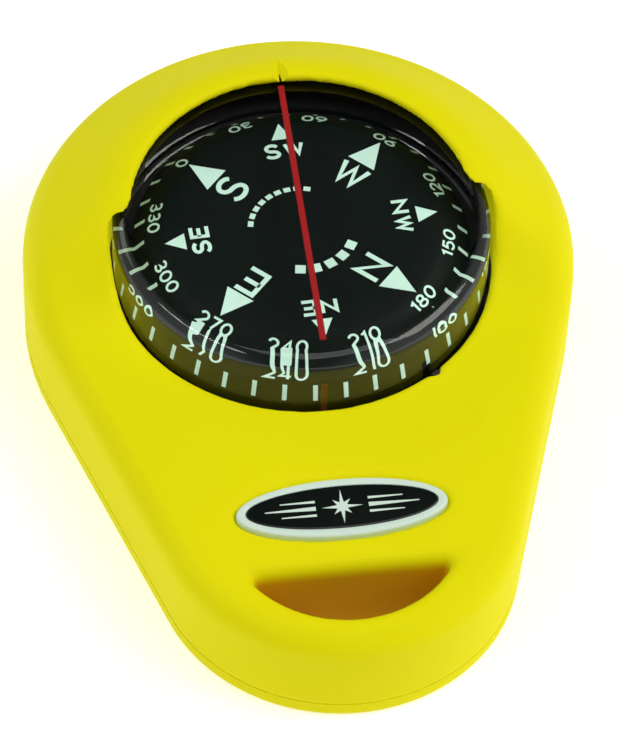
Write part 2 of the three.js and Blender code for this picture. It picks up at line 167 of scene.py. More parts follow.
def newRule(name, sizes):
    tree = bpy.data.node_groups.new(name, "GeometryNodeTree")
    tree.interface.new_socket("Geometry", in_out="OUTPUT", socket_type="NodeSocketGeometry")
    tree.interface.new_socket("Places", in_out="INPUT", socket_type="NodeSocketGeometry")
    for label in sizes:
        tree.interface.new_socket(label, in_out="INPUT", socket_type="NodeSocketFloat")
    tree.interface.new_socket("Material", in_out="INPUT", socket_type="NodeSocketMaterial")
    inputs = tree.nodes.new("NodeGroupInput")
    fields = {label: Field(tree, inputs.outputs[label]) for label in sizes}
    return tree, fields, inputs


# ends a rule's tree: instances made real, then its material
def closeRule(tree, inputs, geometry):
    real = tree.nodes.new("GeometryNodeRealizeInstances")
    paint = tree.nodes.new("GeometryNodeSetMaterial")
    result = tree.nodes.new("NodeGroupOutput")
    tree.links.new(geometry, real.inputs["Geometry"])
    tree.links.new(real.outputs["Geometry"], paint.inputs["Geometry"])
    tree.links.new(inputs.outputs["Material"], paint.inputs["Material"])
    tree.links.new(paint.outputs["Geometry"], result.inputs["Geometry"])


def placeInMillimetres(tree):
    position = tree.nodes.new("GeometryNodeInputPosition")
    parts = tree.nodes.new("ShaderNodeSeparateXYZ")
    tree.links.new(position.outputs[0], parts.inputs[0])
    return [Field(tree, parts.outputs[axis]) * (1 / mm) for axis in range(3)]


# the solid where a rule is below zero, meshed on a grid and eased; far outside, the rule counts as 4 mm
skinSizes = {"outside": 4, "easing": 2, "pitch": 0.62, "draftPitch": 0.9}


def meshOfRule(tree, rule, low, high, pitch):
    cube = tree.nodes.new("GeometryNodeVolumeCube")
    tree.links.new((-rule).socket, cube.inputs["Density"])
    cube.inputs["Background"].default_value = -skinSizes["outside"]
    cube.inputs["Min"].default_value = [v * mm for v in low]
    cube.inputs["Max"].default_value = [v * mm for v in high]
    for axis, label in enumerate("XYZ"):
        steps = int((high[axis] - low[axis]) / pitch)
        cube.inputs[f"Resolution {label}"].default_value = steps
    skin = tree.nodes.new("GeometryNodeVolumeToMesh")
    skin.inputs["Threshold"].default_value = 0
    spot = tree.nodes.new("GeometryNodeInputPosition")
    blur = tree.nodes.new("GeometryNodeBlurAttribute")
    blur.data_type = "FLOAT_VECTOR"
    blur.inputs["Iterations"].default_value = skinSizes["easing"]
    ease = tree.nodes.new("GeometryNodeSetPosition")
    smooth = tree.nodes.new("GeometryNodeSetShadeSmooth")
    tree.links.new(cube.outputs[0], skin.inputs["Volume"])
    tree.links.new(skin.outputs["Mesh"], ease.inputs["Geometry"])
    tree.links.new(spot.outputs[0], blur.inputs["Value"])
    tree.links.new(blur.outputs[0], ease.inputs["Position"])
    tree.links.new(ease.outputs[0], smooth.inputs[0])
    return smooth.outputs[0]


# runs a tree on a mesh of places and keeps the plain mesh that comes out
def grow(name, tree, sizes, material, places=()):
    start = bpy.data.meshes.new(name)
    start.from_pydata([tuple(spot) for spot in places], [], [])
    holder = bpy.data.objects.new(name, start)
    scene.collection.objects.link(holder)
    modifier = holder.modifiers.new("rule", "NODES")
    modifier.node_group = tree
    for item in tree.interface.items_tree:
        if item.in_out == "INPUT" and item.name in sizes:
            modifier[item.identifier] = float(sizes[item.name])
        if item.in_out == "INPUT" and item.name == "Material":
            modifier[item.identifier] = material
    depsgraph = bpy.context.evaluated_depsgraph_get()
    mesh = bpy.data.meshes.new_from_object(holder.evaluated_get(depsgraph))
    mesh.materials.clear()
    mesh.materials.append(material)
    mesh.polygons.foreach_set("material_index", [0] * len(mesh.polygons))
    holder.modifiers.clear()
    empty = holder.data
    holder.data = mesh
    bpy.data.meshes.remove(empty)
    print("grown", name, len(mesh.polygons), "faces")
    return holder


# a piece is attached to its body and hides the nodes it replaces
def newPiece(name, mesh, material, body, *nodes, slot=None):
    if isinstance(mesh, bmesh.types.BMesh):
        made = bpy.data.meshes.new(name)
        mesh.to_mesh(made)
        mesh.free()
        mesh = made
    piece = bpy.data.objects.new(name, mesh)
    scene.collection.objects.link(piece)
    if not mesh.materials:
        mesh.materials.append(material)
    return settle(piece, body, *nodes, slot=slot)


def settle(piece, body, *nodes, slot=None):
    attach(piece, body)
    if nodes:
        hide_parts(*nodes)
    return piece


# shader parts
def newMaterial(name, color, roughness, metallic=0.0):
    material = bpy.data.materials.new(name)
    material.use_nodes = True
    shader = material.node_tree.nodes["Principled BSDF"]
    shader.inputs["Base Color"].default_value = (*color, 1)
    shader.inputs["Roughness"].default_value = roughness
    shader.inputs["Metallic"].default_value = metallic
    return material, shader


def newShaderGroup(name, inputs, outputs):
    group = bpy.data.node_groups.new(name, "ShaderNodeTree")
    for label, kind, value in inputs:
        socket = group.interface.new_socket(label, in_out="INPUT", socket_type=kind)
        socket.default_value = value
    for label, kind in outputs:
        group.interface.new_socket(label, in_out="OUTPUT", socket_type=kind)
    return group, group.nodes.new("NodeGroupInput"), group.nodes.new("NodeGroupOutput")


# moulded grain: a mottled colour, an uneven roughness and a fine height
def makeGrainGroup():
    kind = "NodeSocketFloat"
    group, given, result = newShaderGroup(
        "mouldedGrain",
        [
            ("Color", "NodeSocketColor", (1, 1, 1, 1)),
            ("Shift Color", "NodeSocketColor", (1, 1, 1, 1)),
            ("Mottle Scale", kind, 60.0),
            ("Grain Scale", kind, 4000.0),
            ("Roughness Low", kind, 0.4),
            ("Roughness High", kind, 0.6),
        ],
        [("Color", "NodeSocketColor"), ("Roughness", kind), ("Height", kind)],
    )
    nodes, link = group.nodes, group.links.new
    place = nodes.new("ShaderNodeTexCoord")
    mottle = nodes.new("ShaderNodeTexNoise")
    mottle.inputs["Detail"].default_value = 3
    link(place.outputs["Object"], mottle.inputs["Vector"])
    link(given.outputs["Mottle Scale"], mottle.inputs["Scale"])
    blend = nodes.new("ShaderNodeMix")
    blend.data_type = "RGBA"
    link(mottle.outputs["Fac"], blend.inputs["Factor"])
    link(given.outputs["Color"], blend.inputs["A"])
    link(given.outputs["Shift Color"], blend.inputs["B"])
    link(blend.outputs["Result"], result.inputs["Color"])
    grain = nodes.new("ShaderNodeTexNoise")
    grain.inputs["Detail"].default_value = 2
    link(place.outputs["Object"], grain.inputs["Vector"])
    link(given.outputs["Grain Scale"], grain.inputs["Scale"])
    spread = nodes.new("ShaderNodeMapRange")
    link(mottle.outputs["Fac"], spread.inputs["Value"])
    link(given.outputs["Roughness Low"], spread.inputs["To Min"])
    link(given.outputs["Roughness High"], spread.inputs["To Max"])
    link(spread.outputs["Result"], result.inputs["Roughness"])
    link(grain.outputs["Fac"], result.inputs["Height"])
    return group


grainGroup = makeGrainGroup()


def grained(name, look):
    material, shader = newMaterial(name, look["color"], 0.5, look.get("metallic", 0.0))
    tree = material.node_tree
    grain = tree.nodes.new("ShaderNodeGroup")
    grain.node_tree = grainGroup
    grain.inputs["Color"].default_value = (*look["color"], 1)
    grain.inputs["Shift Color"].default_value = (*look["shift"], 1)
    grain.inputs["Mottle Scale"].default_value = look.get("mottle", 60)
    grain.inputs["Grain Scale"].default_value = look.get("grain", 4000)
    grain.inputs["Roughness Low"].default_value = look["roughness"][0]
    grain.inputs["Roughness High"].default_value = look["roughness"][1]
    bump = tree.nodes.new("ShaderNodeBump")
    bump.inputs["Strength"].default_value = look.get("bump", 0.2)
    bump.inputs["Distance"].default_value = look.get("depth", 0.02) * mm
    tree.links.new(grain.outputs["Color"], shader.inputs["Base Color"])
    tree.links.new(grain.outputs["Roughness"], shader.inputs["Roughness"])
    tree.links.new(grain.outputs["Height"], bump.inputs["Height"])
    tree.links.new(bump.outputs["Normal"], shader.inputs["Normal"])
    shader.inputs["Specular IOR Level"].default_value = look.get("specular", 0.5)
    return material


looks = {
    "softYellow": {
        "color": (0.84, 0.77, 0.0015),
        "shift": (0.79, 0.735, 0.001),
        "roughness": (0.58, 0.7),
        "mottle": 35,
        "grain": 5200,
        "bump": 0.25,
        "depth": 0.03,
        "specular": 0.07,
    },
    "blackPlastic": {
        "color": (0.0025, 0.004, 0.0034),
        "shift": (0.005, 0.007, 0.006),
        "roughness": (0.45, 0.6),
        "grain": 3000,
        "specular": 0.2,
    },
    "blackRubber": {
        "color": (0.004, 0.005, 0.005),
        "shift": (0.01, 0.01, 0.01),
        "roughness": (0.6, 0.8),
        "grain": 5000,
    },
    "cardBlack": {
        "color": (0.0012, 0.0038, 0.0032),
        "shift": (0.0022, 0.0052, 0.0044),
        "roughness": (0.5, 0.6),
        "mottle": 80,
        "grain": 6000,
        "depth": 0.01,
        "specular": 0.1,
    },
    "printWhite": {
        "color": (0.62, 0.86, 0.76),
        "shift": (0.55, 0.8, 0.7),
        "roughness": (0.45, 0.6),
        "mottle": 900,
        "grain": 7000,
        "depth": 0.01,
    },
    "badgeWhite": {
        "color": (0.7, 0.84, 0.74),
        "shift": (0.64, 0.8, 0.7),
        "roughness": (0.3, 0.4),
        "mottle": 200,
        "depth": 0.01,
    },
    "badgeBlack": {
        "color": (0.002, 0.0045, 0.0035),
        "shift": (0.004, 0.007, 0.006),
        "roughness": (0.22, 0.3),
        "mottle": 200,
        "depth": 0.008,
    },
    "lineRed": {
        "color": (0.42, 0.012, 0.014),
        "shift": (0.34, 0.008, 0.01),
        "roughness": (0.35, 0.45),
        "mottle": 300,
        "depth": 0.01,
    },
    # painted shade: a darkened copy of the lubber-line red, for the shade the front line sits in behind
    # the capsule's side wall
    "shadedFrontLineRed": {
        "color": (0.11, 0.009, 0.003),
        "shift": (0.085, 0.006, 0.002),
        "roughness": (0.4, 0.5),
        "mottle": 300,
        "depth": 0.01,
    },
    "floatWhite": {
        "color": (0.7, 0.73, 0.7),
        "shift": (0.62, 0.66, 0.63),
        "roughness": (0.4, 0.5),
    },
    "turnedBrass": {
        "color": (0.62, 0.42, 0.16),
        "shift": (0.5, 0.33, 0.12),
        "roughness": (0.25, 0.4),
        "metallic": 1.0,
        "mottle": 300,
    },
    "platedSteel": {
        "color": (0.6, 0.61, 0.63),
        "shift": (0.5, 0.51, 0.53),
        "roughness": (0.22, 0.38),
        "metallic": 1.0,
        "mottle": 400,
    },
    "magnetAlloy": {
        "color": (0.16, 0.165, 0.17),
        "shift": (0.1, 0.105, 0.11),
        "roughness": (0.4, 0.6),
        "metallic": 1.0,
    },
    "jewelRed": {
        "color": (0.35, 0.02, 0.05),
        "shift": (0.3, 0.015, 0.04),
        "roughness": (0.06, 0.1),
        "depth": 0.001,
    },
}
materials = {name: grained(name, look) for name, look in looks.items()}


# painted shade: the yellow base colour is mixed towards amber down inside the lanyard slot, standing in
# for the darker, warmer light that bounces between its walls
slotShadeSizes = {
    "color": (0.66, 0.3, 0.0005),
    "middle": (0, -55, 8.2),
    "half": (15.2, 9.2, 7),
    "fade": (1.15, 0.8),
    "strength": 0.8,
}


def addPaintedSlotShade(material):
    tree = material.node_tree
    nodes, link = tree.nodes, tree.links.new
    shader = nodes["Principled BSDF"]
    plain = shader.inputs["Base Color"].links[0].from_socket
    place = nodes.new("ShaderNodeTexCoord")
    shifted = nodes.new("ShaderNodeVectorMath")
    shifted.operation = "SUBTRACT"
    shifted.inputs[1].default_value = [v * mm for v in slotShadeSizes["middle"]]
    link(place.outputs["Object"], shifted.inputs[0])
    scaled = nodes.new("ShaderNodeVectorMath")
    scaled.operation = "DIVIDE"
    scaled.inputs[1].default_value = [v * mm for v in slotShadeSizes["half"]]
    link(shifted.outputs[0], scaled.inputs[0])
    axes = nodes.new("ShaderNodeSeparateXYZ")
    link(scaled.outputs[0], axes.inputs[0])
    across, along, upwards = [Field(tree, axes.outputs[axis]) for axis in "XYZ"]
    reach = distance(across, along).most(upwards.size())
    fade = nodes.new("ShaderNodeMapRange")
    fade.interpolation_type = "SMOOTHSTEP"
    fade.inputs["From Min"].default_value = slotShadeSizes["fade"][0]
    fade.inputs["From Max"].default_value = slotShadeSizes["fade"][1]
    fade.inputs["To Max"].default_value = slotShadeSizes["strength"]
    link(reach.socket, fade.inputs["Value"])
    # painted shade: mixes the yellow towards amber inside the slot
    blend = nodes.new("ShaderNodeMix")
    blend.data_type = "RGBA"
    link(fade.outputs["Result"], blend.inputs["Factor"])
    link(plain, blend.inputs["A"])
    blend.inputs["B"].default_value = (*slotShadeSizes["color"], 1)
    link(blend.outputs["Result"], shader.inputs["Base Color"])


addPaintedSlotShade(materials["softYellow"])


# the clear cover and the liquid bend light alike, so they are one clear body
lensLook = {"color": (0.93, 0.985, 0.96), "ior": 1.47, "roughness": 0.0}


def makeLensMaterial():
    material, shader = newMaterial("clearLens", lensLook["color"], lensLook["roughness"])
    shader.inputs["IOR"].default_value = lensLook["ior"]
    shader.inputs["Transmission Weight"].default_value = 1.0
    return material


materials["clearLens"] = makeLensMaterial()
print("materials made:", len(materials))


# yellow shell; its rule reads the sizes, and the blends are the widths of its soft joins
fitGap = 0.3
handleRadius = 26
lugSizes = {"angle": math.radians(-54.5), "reach": 28.2, "radius": 0.75}
shellSizes = {
    "Round Radius": (shellHigh.x - shellLow.x) / 2,
    "Handle Radius": handleRadius,
    "Round Y": shellHigh.y - (shellHigh.x - shellLow.x) / 2,
    "Handle Y": shellLow.y + handleRadius,
    "Deck Height": 17.2,
    "Deck Fillet": 3.6,
    "Hood Height": shellHigh.z,
    "Hood Slope": 0.775,
    "Crest Radius": 27.4,
    "Hood End Y": 0.7,
    "End Blend": 8.0,
    "Lip Radius": 24.3,
    "Lip Bottom": coverHigh.z + fitGap,
    "Lip Fillet": 2.2,
    "Well Radius": 27.7,
    "Wall": 2.6,
    "Bottom": shellLow.z,
    "Badge Half Length": (badgeHigh.x - badgeLow.x) / 2 + fitGap,
    "Badge Half Width": (badgeHigh.y - badgeLow.y) / 2 + fitGap,
    "Badge Y": (badgeLow.y + badgeHigh.y) / 2,
    "Badge Floor": badgeLow.z - fitGap,
    "Slot Y": -55,
    "Slot Half": 14.2,
    "Slot Depth": 8.1,
    "Slot Wall": 1.6,
    "Collar Radius": gasketHigh.x + fitGap,
    "Collar Bottom": 14.4,
    "Boss Radius": 2.9,
    "Pilot Radius": 1.35,
    "Lug X": lugSizes["reach"] * math.cos(lugSizes["angle"]),
    "Lug Y": lugSizes["reach"] * math.sin(lugSizes["angle"]),
}
shellBlends = {
    "crest": 4,
    "hoodEnd": 8,
    "lipEdge": 1.2,
    "opening": 1.5,
    "badge": 0.7,
    "slotMouth": 3.2,
    "slotCorner": 1.6,
}
hoodEndAngle = math.radians(54)
screwNodes = [f"base_screw_{number}" for number in range(1, 5)]


def screwPlace(node):
    low, high = nodeBox(node)
    return (low + high) / 2


def teardropRule(place, size):
    across = place[0].size()
    run = size["Round Y"] - size["Handle Y"]
    taper = (size["Round Radius"] - size["Handle Radius"]) / run
    slant = (-(taper * taper) + 1).root()
    along = size["Round Y"] - place[1]
    nearest = (along - across * taper / slant).most(0).least(run)
    return distance(across, along - nearest) - (size["Round Radius"] - nearest * taper)


def slotRule(place, size):
    half, depth = size["Slot Half"], size["Slot Depth"]
    bend = (half * half + depth * depth) / (depth * 2)
    centre = size["Slot Y"] - depth + bend
    bow = distance(place[0], place[1] - centre) - bend
    return bow.softMost(place[1] - size["Slot Y"], shellBlends["slotCorner"])


def makeShell():
    tree, size, inputs = newRule("shellRule", shellSizes)
    place = placeInMillimetres(tree)
    x, y, z = place
    side = teardropRule(place, size)
    radius = distance(x, y)
    slope = size["Hood Slope"]
    rise = size["Hood Height"] - (radius - size["Crest Radius"]) * slope
    cone = (z - rise) / (slope * slope + 1).root()
    crest = z - size["Hood Height"]
    ahead = (size["Hood End Y"] - y) * math.sin(hoodEndAngle)
    end = ahead + crest * math.cos(hoodEndAngle)
    hood = cone.softMost(crest, shellBlends["crest"]).softMost(end, shellBlends["hoodEnd"])
    roof = (z - size["Deck Height"]).softLeast(hood, size["End Blend"])
    outside = roundedBoth(side, roof, size["Deck Fillet"])

    under = z - size["Lip Bottom"]
    well = roundedBoth(radius - size["Well Radius"], under, size["Lip Fillet"])
    opening = well.softLeast(radius - size["Lip Radius"], shellBlends["lipEdge"])
    outside = outside.softMost(-opening, shellBlends["opening"])
    oval = distance(x / size["Badge Half Length"], (y - size["Badge Y"]) / size["Badge Half Width"])
    recess = ((oval - 1) * size["Badge Half Width"]).most(size["Badge Floor"] - z)
    outside = outside.softMost(-recess, shellBlends["badge"])
    slot = slotRule(place, size)
    outside = outside.softMost(-slot, shellBlends["slotMouth"])

    cavity = (side + size["Wall"]).most(roof + size["Wall"])
    collar = (radius - size["Collar Radius"]).most(size["Collar Bottom"] - z)
    cavity = cavity.most(-collar).most(size["Slot Wall"] - slot)
    for node in screwNodes:
        middle = screwPlace(node)
        reach = distance(x - middle.x, y - middle.y)
        cavity = cavity.most(size["Boss Radius"] - reach)
        pilot = (reach - size["Pilot Radius"]).most(z - nodeBox(node)[1].z)
        cavity = cavity.least(pilot)
    lug = distance(x - size["Lug X"], y - size["Lug Y"]) - lugSizes["radius"]
    shell = outside.most(-cavity).most(-lug).most(size["Bottom"] - 1 - z)
    low = shellLow - Vector((1, 1, 2))
    high = shellHigh + Vector((1, 1, 1))
    pitch = skinSizes["pitch"]
    closeRule(tree, inputs, meshOfRule(tree, shell, low, high, pitch))
    piece = grow("yellowShell", tree, shellSizes, materials["softYellow"])
    cutFlat(piece.data, shellLow.z - seamGap)
    cutAway(piece, wedgeMesh(creaseSizes), materials["softYellow"])
    # painted shade: the slit's cut walls take the black plastic finish, for the shade down in the
    # narrow slit
    cutAway(piece, wedgeMesh(slitSizes), materials["blackPlastic"])
    sharpen(piece)
    return settle(piece, "housing", "body_shell")


# trims a mesh level at a height and closes the cut
def cutFlat(data, height):
    mesh = bmesh.new()
    mesh.from_mesh(data)
    every = mesh.verts[:] + mesh.edges[:] + mesh.faces[:]
    cut = bmesh.ops.bisect_plane(
        mesh,
        geom=every,
        plane_co=(0, 0, height * mm),
        plane_no=(0, 0, 1),
        clear_inner=True,
    )
    edges = [item for item in cut["geom_cut"] if isinstance(item, bmesh.types.BMEdge)]
    bmesh.ops.triangle_fill(mesh, use_beauty=True, edges=edges, normal=(0, 0, -1))
    bmesh.ops.recalc_face_normals(mesh, faces=mesh.faces)
    mesh.to_mesh(data)
    mesh.free()
    data.set_sharp_from_angle(angle=math.radians(50))


def blockMesh(low, high):
    mesh = bmesh.new()
    bmesh.ops.create_cube(mesh, size=1)
    for vert in mesh.verts:
        for axis in range(3):
            vert.co[axis] = (high[axis] if vert.co[axis] > 0 else low[axis]) * mm
    return mesh


def sharpen(piece, degrees=35):
    piece.data.set_sharp_from_angle(angle=math.radians(degrees))
    return piece


# block whose width at its far side is the near width times the taper
def wedgeMesh(size):
    near, far, axis = size["near"], size["far"], size["axis"]
    mesh = blockMesh(near, far)
    for vert in mesh.verts:
        if abs(vert.co[axis] - far[axis] * mm) < 1e-6:
            vert.co.x *= size["taper"]
    bmesh.ops.recalc_face_normals(mesh, faces=mesh.faces)
    return mesh


# subtracts a cutter from a piece for good; the cut takes a finish of its own
def cutAway(piece, cutter, material):
    data = bpy.data.meshes.new("cutter")
    cutter.to_mesh(data)
    cutter.free()
    data.materials.append(material)
    tool = bpy.data.objects.new("cutter", data)
    scene.collection.objects.link(tool)
    modifier = piece.modifiers.new("cut", "BOOLEAN")
    modifier.operation = "DIFFERENCE"
    modifier.solver = "EXACT"
    modifier.material_mode = "TRANSFER"
    modifier.object = tool
    depsgraph = bpy.context.evaluated_depsgraph_get()
    mesh = bpy.data.meshes.new_from_object(piece.evaluated_get(depsgraph))
    piece.modifiers.clear()
    old = piece.data
    piece.data = mesh
    bpy.data.meshes.remove(old)
    bpy.data.objects.remove(tool)
    bpy.data.meshes.remove(data)


# gap at the parting line, then the sighting crease in the hood and the slit through its lip, whose cut
# walls are painted black as painted shade
seamGap = 0.22
creaseSizes = {"near": (-0.05, 22, 27.3), "far": (0.05, 31, 30), "axis": 2, "taper": 50}
slitSizes = {"near": (-0.34, 23, 27.25), "far": (0.34, 26.2, 30), "axis": 1, "taper": 0.1}
makeShell()


# turns a profile of (radius, height) corners about the vertical axis
def turnedMesh(corners, steps=160):
    mesh = bmesh.new()
    rings = []
    for radius, height in corners:
        if radius < 1e-6:
            rings.append([mesh.verts.new((0, 0, height * mm))])
            continue
        points = []
        for step in range(steps):
            turn = step * math.tau / steps
            spot = (radius * math.cos(turn) * mm, radius * math.sin(turn) * mm, height * mm)
            points.append(mesh.verts.new(spot))
        rings.append(points)
    for lower, upper in zip(rings, rings[1:] + rings[:1]):
        if len(lower) == 1 and len(upper) == 1:
            continue
        for step in range(steps):
            after = (step + 1) % steps
            loop = [lower[step % len(lower)], lower[after % len(lower)]]
            loop += [upper[after % len(upper)], upper[step % len(upper)]]
            loop = list(dict.fromkeys(loop))
            mesh.faces.new(loop)
    bmesh.ops.recalc_face_normals(mesh, faces=mesh.faces)
    for face in mesh.faces:
        face.smooth = True
    return mesh


def arcCorners(middle, radius, start, stop, steps=10):
    corners = []
    for step in range(steps + 1):
        turn = math.radians(start + (stop - start) * step / steps)
        corners.append((middle[0] + radius * math.cos(turn), middle[1] + radius * math.sin(turn)))
    return corners


# clear cover with the liquid under it
lensSizes = {
    "edgeRadius": 2.4,
    "flangeWidth": 1.8,
    "flangeHeight": 1.6,
    "sideWall": 1.2,
    "rimStep": 0.9,
    "bowlWall": 1.4,
    "bite": 0.2,
    "floorRise": 4.3,
}


def makeLens():
    top = coverHigh.z
    radius = coverHigh.x - lensSizes["flangeWidth"]
    edge = lensSizes["edgeRadius"]
    flangeTop = coverLow.z + lensSizes["flangeHeight"]
    inside = radius - lensSizes["sideWall"] - lensSizes["bowlWall"] + lensSizes["bite"]
    floor = bowlLow.z + lensSizes["floorRise"] - lensSizes["bite"]
    rim = bowlHigh.z - lensSizes["bite"]
    step = radius - lensSizes["rimStep"]
    corners = [(0, floor), (inside, floor), (inside, rim), (step, rim)]
    corners += [(step, coverLow.z), (coverHigh.x, coverLow.z), (coverHigh.x, flangeTop)]
    corners += [(radius, flangeTop)]
    corners += arcCorners((radius - edge, top - edge), edge, 0, 90, 14)
    corners += [(0, top)]
    piece = newPiece(
        "clearCoverWithLiquid",
        turnedMesh(corners, 192),
        materials["clearLens"],
        "housing",
        "capsule_cover",
    )
    sharpen(piece, 40)
    piece.visible_shadow = False


makeLens()


# compass card: flat middle, a numeral band and a steeper tick band
cardSizes = {
    "flat": 20.0,
    "numeralBand": 2.9,
    "numeralSlope": 40,
    "tickSlope": 62,
    "wall": 0.6,
    "corner": 0.25,
    "flatRings": (8, 16),
    "north": -42.5,
}


# the card's profile from its centre outwards, as (radius, height, slope in degrees)
def cardProfile(reach):
    flat = cardSizes["flat"]
    first = cardSizes["numeralBand"]
    top = cardHigh.z
    if reach <= flat:
        return reach, top, 0
    slope = math.radians(cardSizes["numeralSlope"])
    past = min(reach - flat, first)
    radius = flat + past * math.cos(slope)
    height = top - past * math.sin(slope)
    if reach - flat <= first:
        return radius, height, cardSizes["numeralSlope"]
    slope = math.radians(cardSizes["tickSlope"])
    past = reach - flat - first
    return radius + past * math.cos(slope), height - past * math.sin(slope), cardSizes["tickSlope"]


def cardReachEnd():
    radius = cardProfile(cardSizes["flat"] + cardSizes["numeralBand"])[0]
    steep = (cardHigh.x - radius) / math.cos(math.radians(cardSizes["tickSlope"]))
    return cardSizes["flat"] + cardSizes["numeralBand"] + steep


def makeCard():
    end = cardReachEnd()
    wall = cardSizes["wall"]
    corner = cardSizes["corner"]
    bandEnd = cardSizes["flat"] + cardSizes["numeralBand"]
    reaches = [0, *cardSizes["flatRings"], cardSizes["flat"] - corner, cardSizes["flat"] + corner]
    reaches += [bandEnd - corner, bandEnd + corner, end]
    top = [cardProfile(reach) for reach in reaches]
    under = []
    for radius, height, slope in top:
        lean = math.radians(slope)
        spot = (max(radius - wall * math.sin(lean), 0), height - wall * math.cos(lean))
        under.append(spot)
    low = cardLow.z
    corners = [(radius, max(height, low)) for radius, height in under]
    corners += [(radius, height) for radius, height, _ in reversed(top)]
    mesh = turnedMesh(corners, 180)
    piece = newPiece("dialCard", mesh, materials["cardBlack"], "card", "compass_card")
    sharpen(piece, 50)


makeCard()


# a point on the card: a clockwise direction from north, a reach from the centre and a lift
def onCard(direction, reach, lift):
    radius, height, slope = cardProfile(reach)
    lean = math.radians(slope)
    radius += lift * math.sin(lean)
    height += lift * math.cos(lean)
    turn = math.radians(cardSizes["north"] - direction)
    return Vector((radius * math.cos(turn), radius * math.sin(turn), height)) * mm


def bow(middleX, middleY, radiusX, radiusY, start, stop, steps=9):
    points = []
    for step in range(steps + 1):
        turn = math.radians(start + (stop - start) * step / steps)
        points.append((middleX + radiusX * math.cos(turn), middleY + radiusY * math.sin(turn)))
    return points


# single-line figures and letters, one unit high: strokes, width, and whether a stroke closes
glyphs = {
    "0": ([bow(0.36, 0.5, 0.36, 0.5, 90, 450, 20)[:-1]], 0.72, True),
    "1": ([[(0.0, 0.74), (0.26, 1.0), (0.26, 0.0)]], 0.3, False),
    "2": ([bow(0.33, 0.68, 0.32, 0.32, 165, -35) + [(0.0, 0.0), (0.68, 0.0)]], 0.68, False),
    "3": ([bow(0.32, 0.74, 0.27, 0.26, 155, -90) + bow(0.32, 0.25, 0.33, 0.25, 85, -155)], 0.66, False),
    "4": ([[(0.52, 0.0), (0.52, 1.0), (0.0, 0.28), (0.72, 0.28)]], 0.72, False),
    "5": (
        [[(0.6, 1.0), (0.12, 1.0), (0.07, 0.56)] + bow(0.33, 0.32, 0.33, 0.32, 125, -150)],
        0.66,
        False,
    ),
    "6": (
        [[(0.56, 1.0), (0.2, 0.66)] + bow(0.35, 0.31, 0.34, 0.31, 160, 500, 16)],
        0.7,
        False,
    ),
    "7": ([[(0.0, 1.0), (0.64, 1.0), (0.22, 0.0)]], 0.64, False),
    "8": (
        [bow(0.34, 0.75, 0.27, 0.25, 90, 450, 14)[:-1], bow(0.34, 0.26, 0.34, 0.26, 90, 450, 14)[:-1]],
        0.68,
        True,
    ),
    "9": (
        [[(0.14, 0.0), (0.5, 0.34)] + bow(0.35, 0.69, 0.34, 0.31, -20, 320, 16)],
        0.7,
        False,
    ),
    "N": ([[(0.0, 0.0), (0.0, 1.0), (0.78, 0.0), (0.78, 1.0)]], 0.78, False),
    "E": ([[(0.7, 1.0), (0.0, 1.0), (0.0, 0.0), (0.7, 0.0)], [(0.0, 0.52), (0.62, 0.52)]], 0.7, False),
    "S": (
        [
            bow(0.36, 0.745, 0.33, 0.255, 25, 270, 12)[:-1]
            + bow(0.36, 0.25, 0.36, 0.25, 90, -160, 12)
        ],
        0.72,
        False,
    ),
    "W": ([[(0.0, 1.0), (0.24, 0.0), (0.48, 1.0), (0.72, 0.0), (0.96, 1.0)]], 0.96, False),
}


# left and right edges of a stroke with mitred corners, kept within the line of letters
def strokeEdges(points, width, closed, low, high):
    half = width / 2
    count = len(points)
    lefts, rights = [], []
    for i, point in enumerate(points):
        here = Vector(point)
        before = Vector(points[i - 1]) if i > 0 or closed else None
        after = Vector(points[(i + 1) % count]) if i < count - 1 or closed else None
        arriving = (here - before).normalized() if before is not None else None
        leaving = (after - here).normalized() if after is not None else None
        arriving = arriving if arriving is not None else leaving
        leaving = leaving if leaving is not None else arriving
        sideways = Vector((-arriving.y - leaving.y, arriving.x + leaving.x))
        sideways.normalize()
        mitre = half / max(sideways.dot(Vector((-leaving.y, leaving.x))), 0.3)
        for edge, sign in ((lefts, 1), (rights, -1)):
            spot = here + sideways * mitre * sign
            spot.y = min(max(spot.y, low - half), high + half)
            edge.append(spot)
    return lefts, rights


# a closed flat strip between two edges, laid by a function from (x, y, lift) to a place
def addStrip(mesh, lefts, rights, closed, lay, lifts):
    rows = []
    for left, right in zip(lefts, rights):
        row = [mesh.verts.new(lay(left, lifts[1])), mesh.verts.new(lay(right, lifts[1]))]
        row += [mesh.verts.new(lay(right, lifts[0])), mesh.verts.new(lay(left, lifts[0]))]
        rows.append(row)
    pairs = list(zip(rows, rows[1:]))
    if closed:
        pairs.append((rows[-1], rows[0]))
    for first, second in pairs:
        for side in range(4):
            after = (side + 1) % 4
            mesh.faces.new((first[side], first[after], second[after], second[side]))
    if not closed:
        mesh.faces.new(rows[0])
        mesh.faces.new(list(reversed(rows[-1])))


def addPlate(mesh, outline, lay, lifts):
    tops = [mesh.verts.new(lay(Vector(point), lifts[1])) for point in outline]
    feet = [mesh.verts.new(lay(Vector(point), lifts[0])) for point in outline]
    mesh.faces.new(tops)
    mesh.faces.new(list(reversed(feet)))
    for i in range(len(outline)):
        after = (i + 1) % len(outline)
        mesh.faces.new((tops[i], feet[i], feet[after], tops[after]))


# a word of single-line letters, centred, with its foot at y = 0
def addWord(mesh, word, size, lay, lifts):
    height, width, stretch, gap = size
    across = height * stretch
    total = sum(glyphs[letter][1] for letter in word) * across + gap * (len(word) - 1)
    start = -total / 2
    for letter in word:
        strokes, advance, closed = glyphs[letter]
        for stroke in strokes:
            points = [(start + px * across, py * height) for px, py in stroke]
            lefts, rights = strokeEdges(points, width, closed, 0, height)
            addStrip(mesh, lefts, rights, closed, lay, lifts)
        start += advance * across + gap


